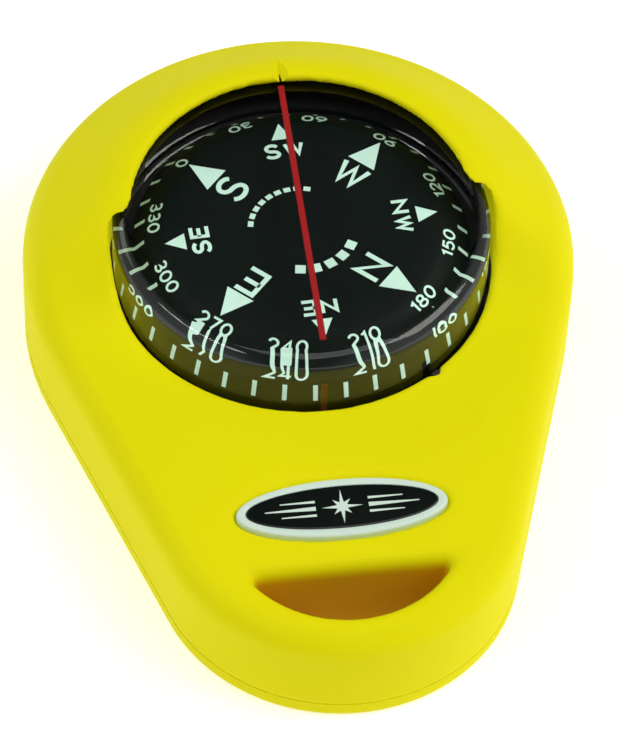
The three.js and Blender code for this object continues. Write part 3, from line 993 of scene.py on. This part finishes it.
# letters are (height, stroke, stretch, gap); arrows are (foot, tip, base)
printSizes = {
    "lifts": (-0.02, 0.025),
    "numerals": (1.95, 0.38, 1.0, 0.62),
    "numeralFoot": 22.5,
    "cardinals": (4.05, 0.74, 1.03, 0),
    "cardinalFoot": 10.2,
    "cardinalArrow": (15.0, 19.9, 4.5),
    "betweens": (2.3, 0.56, 1.1, 1.05),
    "betweenFoot": 13.5,
    "betweenArrow": (16.8, 19.8, 3.0),
    "tickStart": 23.6,
    "dashRadius": 6.9,
    "dashShare": 0.42 / 1.15,
}
# arcs of dashes: middle direction, count, step between them in degrees, width
dashArcs = [(22, 5, 17, 1.5), (195, 9, 11.5, 0.8)]


# lays letters flat on the card, with their tops outwards
def layFlat(direction, foot):
    turn = math.radians(cardSizes["north"] - direction)
    outwards = Vector((math.cos(turn), math.sin(turn), 0))
    clockwise = Vector((math.sin(turn), -math.cos(turn), 0))

    def lay(point, lift):
        spot = outwards * (foot + point[1]) + clockwise * point[0]
        return (spot + Vector((0, 0, cardHigh.z + lift))) * mm

    return lay


# wraps figures round the card's sloping band, with their tops inwards
def layRound(direction, foot):
    def lay(point, lift):
        reach = foot - point[1]
        radius = cardProfile(reach)[0]
        return onCard(direction - math.degrees(point[0] / radius), reach, lift)

    return lay


def makeCardPrint():
    mesh = bmesh.new()
    lifts = printSizes["lifts"]
    for number in range(12):
        direction = (number * 30 + 180) % 360
        lay = layRound(direction, printSizes["numeralFoot"])
        addWord(mesh, str(number * 30), printSizes["numerals"], lay, lifts)
    names = ["N", "NE", "E", "SE", "S", "SW", "W", "NW"]
    for index, name in enumerate(names):
        kind = "cardinal" if len(name) == 1 else "between"
        direction = index * 45
        lay = layFlat(direction, printSizes[kind + "Foot"])
        addWord(mesh, name, printSizes[kind + "s"], lay, lifts)
        foot, tip, base = printSizes[kind + "Arrow"]
        outline = [(-base / 2, foot), (base / 2, foot), (0, tip)]
        addPlate(mesh, outline, layFlat(direction, 0), lifts)
    addCentreDashes(mesh, lifts)
    bmesh.ops.recalc_face_normals(mesh, faces=mesh.faces)
    newPiece("dialPrint", mesh, materials["printWhite"], "card", slot="badge_white")


# two plain arcs of dashes near the card's centre
def addCentreDashes(mesh, lifts):
    for middle, count, spread, width in dashArcs:
        for step in range(count):
            direction = middle + (step - (count - 1) / 2) * spread
            lay = layFlat(direction, printSizes["dashRadius"])
            half = printSizes["dashShare"] * math.radians(spread) * printSizes["dashRadius"]
            outline = [(-half, 0), (half, 0), (half, width), (-half, width)]
            addPlate(mesh, outline, lay, lifts)


makeCardPrint()


# ticks every ten degrees on the steep band, by instancing round the card
tickSizes = {"Count": 36, "Width": 0.62, "Length": 3.0, "Thickness": 0.05}


def makeTicks():
    tree, size, inputs = newRule("tickRule", tickSizes)
    box = tree.nodes.new("GeometryNodeMeshCube")
    shape = tree.nodes.new("ShaderNodeCombineXYZ")
    for slot, label in enumerate(("Length", "Width", "Thickness")):
        tree.links.new((size[label] * mm).socket, shape.inputs[slot])
    tree.links.new(shape.outputs[0], box.inputs["Size"])
    middle = printSizes["tickStart"] + tickSizes["Length"] / 2
    radius, height, slope = cardProfile(middle)
    ring = tree.nodes.new("GeometryNodeMeshCircle")
    tree.links.new(size["Count"].socket, ring.inputs["Vertices"])
    ring.inputs["Radius"].default_value = radius * mm
    copies = tree.nodes.new("GeometryNodeInstanceOnPoints")
    tree.links.new(ring.outputs["Mesh"], copies.inputs["Points"])
    tree.links.new(box.outputs["Mesh"], copies.inputs["Instance"])
    index = tree.nodes.new("GeometryNodeInputIndex")
    turn = Field(tree, index.outputs[0]) * math.tau / size["Count"]
    spin = tree.nodes.new("ShaderNodeCombineXYZ")
    tree.links.new(turn.socket, spin.inputs["Z"])
    spin.inputs["Y"].default_value = math.radians(slope)
    tree.links.new(spin.outputs[0], copies.inputs["Rotation"])
    move = tree.nodes.new("GeometryNodeTransform")
    move.inputs["Translation"].default_value = (0, 0, height * mm)
    move.inputs["Rotation"].default_value = (0, 0, math.radians(cardSizes["north"]))
    tree.links.new(copies.outputs[0], move.inputs["Geometry"])
    closeRule(tree, inputs, move.outputs[0])
    ticks = grow("dialTicks", tree, tickSizes, materials["printWhite"])
    settle(ticks, "card", slot="badge_white")


makeTicks()


# joins outlines of equal length into one closed solid
def loftMesh(outlines):
    mesh = bmesh.new()
    rows = [[mesh.verts.new(Vector(point) * mm) for point in outline] for outline in outlines]
    for lower, upper in zip(rows, rows[1:]):
        for i in range(len(lower)):
            after = (i + 1) % len(lower)
            mesh.faces.new((lower[i], lower[after], upper[after], upper[i]))
    mesh.faces.new(list(reversed(rows[0])))
    mesh.faces.new(rows[-1])
    bmesh.ops.recalc_face_normals(mesh, faces=mesh.faces)
    for face in mesh.faces:
        face.smooth = len(face.verts) == 4
    return mesh


# base cover, screwed on from below
baseSizes = {
    "fillet": 1.0,
    "rimInset": 1.4,
    "seamOverlap": 0.06,
    "joinHeight": shellLow.z + 1,
    "slotGrow": 0.2,
    "headWell": 2.5,
    "headWellTop": 1.6,
    "shankHole": 1.35,
}


def teardropOutline(inset, height, steps=48):
    upper = shellSizes["Round Radius"] - inset
    lower = shellSizes["Handle Radius"] - inset
    run = shellSizes["Round Y"] - shellSizes["Handle Y"]
    lean = math.asin((upper - lower) / run)
    points = []
    for middle, radius, start, stop in (
        (shellSizes["Round Y"], upper, -lean, math.pi + lean),
        (shellSizes["Handle Y"], lower, math.pi + lean, math.tau - lean),
    ):
        for step in range(steps + 1):
            turn = start + (stop - start) * step / steps
            points.append((radius * math.cos(turn), middle + radius * math.sin(turn), height))
    return points


def slotOutline(grow, height, steps=32):
    half, depth = shellSizes["Slot Half"], shellSizes["Slot Depth"]
    bend = (half * half + depth * depth) / (depth * 2)
    middle = shellSizes["Slot Y"] - depth + bend
    radius = bend + grow
    edge = shellSizes["Slot Y"] + grow
    start = math.pi - math.asin((edge - middle) / radius)
    stop = 3 * math.pi - start
    points = []
    for step in range(steps + 1):
        turn = start + (stop - start) * step / steps
        points.append((radius * math.cos(turn), middle + radius * math.sin(turn), height))
    return points


def ringOutline(middle, radius, height, steps=40):
    points = []
    for step in range(steps):
        turn = step * math.tau / steps
        across = middle.x + radius * math.cos(turn)
        points.append((across, middle.y + radius * math.sin(turn), height))
    return points


def makeBase():
    fillet = baseSizes["fillet"]
    outlines = [teardropOutline(baseSizes["rimInset"], 0)]
    for step in range(7):
        turn = math.pi / 2 * step / 6
        inset = fillet * (1 - math.sin(turn))
        outlines.append(teardropOutline(inset, fillet * (1 - math.cos(turn))))
    outlines.append(teardropOutline(0, shellLow.z - seamGap - baseSizes["seamOverlap"]))
    mesh = loftMesh(outlines)
    piece = newPiece("baseCover", mesh, materials["softYellow"], "housing", "base_cover")
    slot = [slotOutline(baseSizes["slotGrow"], level) for level in (-1, baseSizes["joinHeight"])]
    cutAway(piece, loftMesh(slot), materials["softYellow"])
    for node in screwNodes:
        middle = screwPlace(node)
        for radius, height in (
            (baseSizes["headWell"], baseSizes["headWellTop"]),
            (baseSizes["shankHole"], baseSizes["joinHeight"]),
        ):
            hole = [ringOutline(middle, radius, level) for level in (-1, height)]
            cutAway(piece, loftMesh(hole), materials["softYellow"])
    for face in piece.data.polygons:
        if face.normal.z < -0.999:
            face.use_smooth = False
    sharpen(piece, 32)


makeBase()


# base screws with cross recesses, one instance at each screw's place
screwSizes = {
    "Head Radius": 2.15,
    "Head Height": 1.0,
    "Head Foot": 0.3,
    "Shank Radius": 1.0,
    "Shank Length": 9.6,
    "Recess Length": 2.6,
    "Recess Width": 0.62,
    "Recess Depth": 0.55,
}


def makeScrews():
    tree, size, inputs = newRule("screwRule", screwSizes)

    def solid(kind, measures, height, turn=0.0):
        node = tree.nodes.new(kind)
        if kind == "GeometryNodeMeshCylinder":
            node.inputs["Vertices"].default_value = 32
            tree.links.new((measures[0] * mm).socket, node.inputs["Radius"])
            tree.links.new((measures[1] * mm).socket, node.inputs["Depth"])
        else:
            box = tree.nodes.new("ShaderNodeCombineXYZ")
            for axis, measure in enumerate(measures):
                tree.links.new((measure * mm).socket, box.inputs[axis])
            tree.links.new(box.outputs[0], node.inputs["Size"])
        move = tree.nodes.new("GeometryNodeTransform")
        lift = tree.nodes.new("ShaderNodeCombineXYZ")
        tree.links.new((height * mm).socket, lift.inputs["Z"])
        tree.links.new(lift.outputs[0], move.inputs["Translation"])
        move.inputs["Rotation"].default_value = (0, 0, turn)
        tree.links.new(node.outputs["Mesh"], move.inputs["Geometry"])
        return move.outputs[0]

    cylinder, cube = "GeometryNodeMeshCylinder", "GeometryNodeMeshCube"
    headMiddle = size["Head Foot"] + size["Head Height"] / 2
    head = solid(cylinder, (size["Head Radius"], size["Head Height"]), headMiddle)
    shankMiddle = size["Head Foot"] + size["Head Height"] + size["Shank Length"] / 2
    shank = solid(cylinder, (size["Shank Radius"], size["Shank Length"]), shankMiddle)
    recess = (size["Recess Length"], size["Recess Width"], size["Recess Depth"] * 2)
    cut = tree.nodes.new("GeometryNodeMeshBoolean")
    cut.operation = "DIFFERENCE"
    tree.links.new(head, cut.inputs["Mesh 1"])
    for turn in (0, math.pi / 2):
        tree.links.new(solid(cube, recess, size["Head Foot"], turn), cut.inputs["Mesh 2"])
    join = tree.nodes.new("GeometryNodeJoinGeometry")
    tree.links.new(shank, join.inputs[0])
    tree.links.new(cut.outputs["Mesh"], join.inputs[0])
    copies = tree.nodes.new("GeometryNodeInstanceOnPoints")
    tree.links.new(inputs.outputs["Places"], copies.inputs["Points"])
    tree.links.new(join.outputs[0], copies.inputs["Instance"])
    closeRule(tree, inputs, copies.outputs[0])
    places = [(screwPlace(node).x * mm, screwPlace(node).y * mm, 0) for node in screwNodes]
    piece = grow("baseScrews", tree, screwSizes, materials["platedSteel"], places)
    settle(piece, "housing", *screwNodes)


makeScrews()


# badge: white oval plate and a black inlay with a plain compass star
badgeSizes = {
    "edge": 0.45,
    "border": 1.3,
    "borderEdge": 0.08,
    "recess": 0.4,
    "inlayGap": 0.02,
    "inlayEdge": (0.1, 0.4),
    "star": 2.9,
    "starWaist": 0.75,
    "starShort": 0.6,
    "lifts": (-0.02, 0.02),
    "barStart": 3.7,
    "barTip": 0.08,
}
# tapered bars beside the star: row, reach, thickness
badgeBars = [(1.15, 8.6, 0.42), (0, 10.8, 0.7), (-1.15, 8.6, 0.42)]
badgeMiddle = (badgeLow + badgeHigh) / 2


def ovalOutline(inset, height, steps=96):
    halfLength = (badgeHigh.x - badgeLow.x) / 2 - inset
    halfWidth = (badgeHigh.y - badgeLow.y) / 2 - inset
    points = []
    for step in range(steps):
        turn = step * math.tau / steps
        across = badgeMiddle.x + halfLength * math.cos(turn)
        points.append((across, badgeMiddle.y + halfWidth * math.sin(turn), height))
    return points


def makeBadge():
    edge, border = badgeSizes["edge"], badgeSizes["border"]
    borderEdge, gap = badgeSizes["borderEdge"], badgeSizes["inlayGap"]
    floor = badgeHigh.z - badgeSizes["recess"]
    outlines = [ovalOutline(0, badgeLow.z)]
    for step in range(6):
        turn = math.pi / 2 * step / 5
        inset = edge * (1 - math.cos(turn))
        outlines.append(ovalOutline(inset, badgeHigh.z - edge * (1 - math.sin(turn))))
    outlines.append(ovalOutline(border - borderEdge, badgeHigh.z))
    outlines.append(ovalOutline(border, badgeHigh.z - borderEdge))
    outlines.append(ovalOutline(border, floor))
    mesh = loftMesh(outlines)
    plate = newPiece("badgePlate", mesh, materials["badgeWhite"], "housing", "badge_plate")
    sharpen(plate, 50)
    small, wide = badgeSizes["inlayEdge"]
    outlines = [ovalOutline(border + gap, floor + gap)]
    outlines.append(ovalOutline(border + gap, inlayHigh.z - small))
    outlines.append(ovalOutline(border + gap + small, inlayHigh.z - gap))
    outlines.append(ovalOutline(border + wide, inlayHigh.z))
    mesh = loftMesh(outlines)
    inlay = newPiece("badgeInlay", mesh, materials["badgeBlack"], "housing", "badge_inlay")
    sharpen(inlay, 50)


def layOnBadge(point, lift):
    spot = (badgeMiddle.x + point[0], badgeMiddle.y + point[1], inlayHigh.z + lift)
    return Vector(spot) * mm


def makeBadgePrint():
    mesh = bmesh.new()
    lifts = badgeSizes["lifts"]
    star = []
    for index in range(16):
        turn = index * math.tau / 16
        radius = badgeSizes["starWaist"]
        if index % 2 == 0:
            radius = badgeSizes["star"] * (1 if index % 4 == 0 else badgeSizes["starShort"])
        star.append((radius * math.sin(turn), radius * math.cos(turn)))
    addPlate(mesh, star, layOnBadge, lifts)
    for side in (-1, 1):
        for row, reach, thickness in badgeBars:
            near, far = badgeSizes["barStart"] * side, reach * side
            half, tip = thickness / 2, badgeSizes["barTip"]
            outline = [(near, row - half), (far, row - tip), (far, row + tip), (near, row + half)]
            addPlate(mesh, outline, layOnBadge, lifts)
    bmesh.ops.recalc_face_normals(mesh, faces=mesh.faces)
    newPiece("badgePrint", mesh, materials["badgeWhite"], "housing", slot="badge_white")


makeBadge()
makeBadgePrint()


# red line let into the top of the clear cover
stripSizes = {"rear": 24.4, "proud": 0.04, "edge": 0.06}


def makeTopLine():
    high = Vector((lineHigh.x, stripSizes["rear"], lineHigh.z + stripSizes["proud"]))
    mesh = blockMesh(lineLow, high)
    edge = stripSizes["edge"] * mm
    bmesh.ops.bevel(mesh, geom=mesh.edges[:], offset=edge, segments=2, affect="EDGES")
    newPiece("topRedLine", mesh, materials["lineRed"], "housing", "top_lubber_line")


makeTopLine()


# the frame's own pieces, with their finishes
nodeFinishes = {
    "capsule_gasket": "blackRubber",
    "clamp_ring": "blackPlastic",
    "capsule_bowl": "blackPlastic",
    "capsule_seal": "blackRubber",
    "front_lubber_line": "shadedFrontLineRed",
    "pivot_post": "turnedBrass",
    "pivot_needle": "platedSteel",
    "diaphragm": "blackRubber",
    "diaphragm_retainer": "blackPlastic",
    "filler_screw": "turnedBrass",
    "filler_washer": "blackRubber",
    "jewel_cup": "jewelRed",
    "jewel_holder": "turnedBrass",
    "card_float": "floatWhite",
    "magnet_carrier": "blackPlastic",
    "card_magnet_left": "magnetAlloy",
    "card_magnet_right": "magnetAlloy",
}


def finishNodes():
    for name, finish in nodeFinishes.items():
        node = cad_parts[name]
        node.data.materials.clear()
        node.data.materials.append(materials[finish])


finishNodes()


# floor and lights; the room is bright to the sides only, so the flat glass mirrors its dark part
stageSizes = {
    "floor": 3.0,
    "floorColor": (0.93, 0.93, 0.93),
    "floorRoughness": 0.9,
    "floorGlow": 0.37,
    "room": 0.62,
    "darkRoom": 0.02,
    "sideAzimuth": 80,
    "sideSpread": (0.22, 0.7),
}
# lamps: name, azimuth, elevation, distance, width, height, power, colour
lampRows = [
    ("topLamp", 30, 78, 0.8, 0.5, 0.5, 1.2, (1.0, 0.99, 0.97)),
    ("rightLamp", 78, 48, 0.8, 0.5, 0.4, 2.8, (1.0, 0.965, 0.92)),
    ("leftLamp", -70, 50, 0.8, 0.6, 0.08, 1.2, (0.96, 1.0, 0.97)),
    ("rearLamp", -140, 30, 0.8, 0.5, 0.3, 0.8, (0.9, 1.0, 0.86)),
]


def aimFrom(azimuth, elevation):
    turn, rise = math.radians(azimuth), math.radians(elevation)
    level = math.cos(rise)
    return Vector((math.sin(turn) * level, -math.cos(turn) * level, math.sin(rise)))


def makeRoom():
    world = bpy.data.worlds.new("studio")
    world.use_nodes = True
    nodes, link = world.node_tree.nodes, world.node_tree.links.new
    sky = nodes["Background"]
    look = nodes.new("ShaderNodeTexCoord")
    facing = nodes.new("ShaderNodeVectorMath")
    facing.operation = "DOT_PRODUCT"
    facing.inputs[1].default_value = aimFrom(stageSizes["sideAzimuth"], 0)
    link(look.outputs["Generated"], facing.inputs[0])
    aside = nodes.new("ShaderNodeMath")
    aside.operation = "ABSOLUTE"
    link(facing.outputs["Value"], aside.inputs[0])
    fade = nodes.new("ShaderNodeMapRange")
    fade.interpolation_type = "SMOOTHSTEP"
    fade.inputs["From Min"].default_value = stageSizes["sideSpread"][0]
    fade.inputs["From Max"].default_value = stageSizes["sideSpread"][1]
    fade.inputs["To Min"].default_value = stageSizes["darkRoom"]
    fade.inputs["To Max"].default_value = stageSizes["room"]
    link(aside.outputs[0], fade.inputs["Value"])
    link(fade.outputs["Result"], sky.inputs["Strength"])
    sky.inputs["Color"].default_value = (1, 1, 1, 1)
    scene.world = world


def makeLamps():
    for name, azimuth, elevation, reach, width, height, power, color in lampRows:
        lamp = bpy.data.lights.new(name, "AREA")
        lamp.shape = "RECTANGLE"
        lamp.size = width
        lamp.size_y = height
        lamp.energy = power
        lamp.color = color
        holder = bpy.data.objects.new(name, lamp)
        scene.collection.objects.link(holder)
        back = aimFrom(azimuth, elevation)
        holder.location = back * reach
        holder.rotation_euler = back.to_track_quat("Z", "Y").to_euler()


def makeFloor():
    mesh = bmesh.new()
    bmesh.ops.create_grid(mesh, x_segments=1, y_segments=1, size=stageSizes["floor"])
    data = bpy.data.meshes.new("floor")
    mesh.to_mesh(data)
    mesh.free()
    floor = bpy.data.objects.new("floor", data)
    scene.collection.objects.link(floor)
    look = (stageSizes["floorColor"], stageSizes["floorRoughness"])
    paint, shader = newMaterial("floorPaper", *look)
    shader.inputs["Emission Color"].default_value = (1, 1, 1, 1)
    shader.inputs["Emission Strength"].default_value = stageSizes["floorGlow"]
    data.materials.append(paint)


makeFloor()
makeRoom()
makeLamps()
scene.view_settings.view_transform = "Standard"
print("scene ready")
